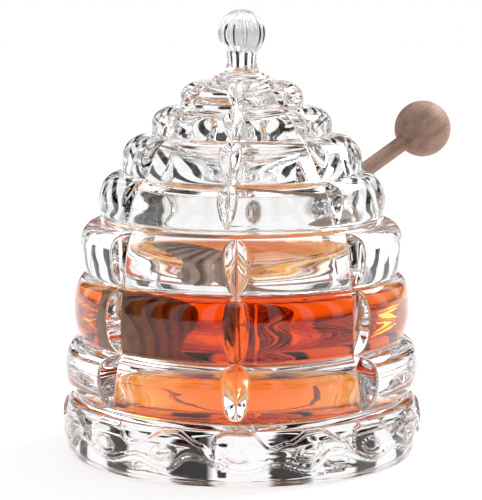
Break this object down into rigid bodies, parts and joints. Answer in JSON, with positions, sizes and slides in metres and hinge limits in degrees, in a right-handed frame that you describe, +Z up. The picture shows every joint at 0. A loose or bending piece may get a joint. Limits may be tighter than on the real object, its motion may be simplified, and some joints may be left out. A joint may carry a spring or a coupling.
{
  "type": "crystal honey jar",
  "caption": "Pressed crystal honey jar shaped like a beehive, with honey, a lift-off domed lid with a ribbed knob, and a wooden dipper that leaves through a notch in the lid.",
  "frame": {"origin": "centre of the jar's flat foot, on the surface that it stands on", "axes": "+Z up along the jar's axis, -Y towards the front, so the dipper leaves at the back right"},
  "size_m": [0.1447, 0.13, 0.1581],
  "materials": {
    "crystal": "gloss",
    "honey": "gloss",
    "beech": "satin"
  },
  "bodies": {
    "jar": {"jar": "crystal", "honey": "honey"},
    "lid": {"lid": "crystal"},
    "dipper": {"dipper_head": "beech", "dipper_handle": "beech", "dipper_knob": "beech"}
  },
  "joints": [
    {"name": "lid_lift", "type": "slide", "parent": "jar", "child": "lid", "axis": [0, 0, 1], "range_m": [0, 0.11]},
    {"name": "dipper_slide", "type": "slide", "parent": "jar", "child": "dipper", "axis": [0.7453, 0.4657, 0.4772], "range_m": [0, 0.052], "deforming": ["honey"]}
  ]
}
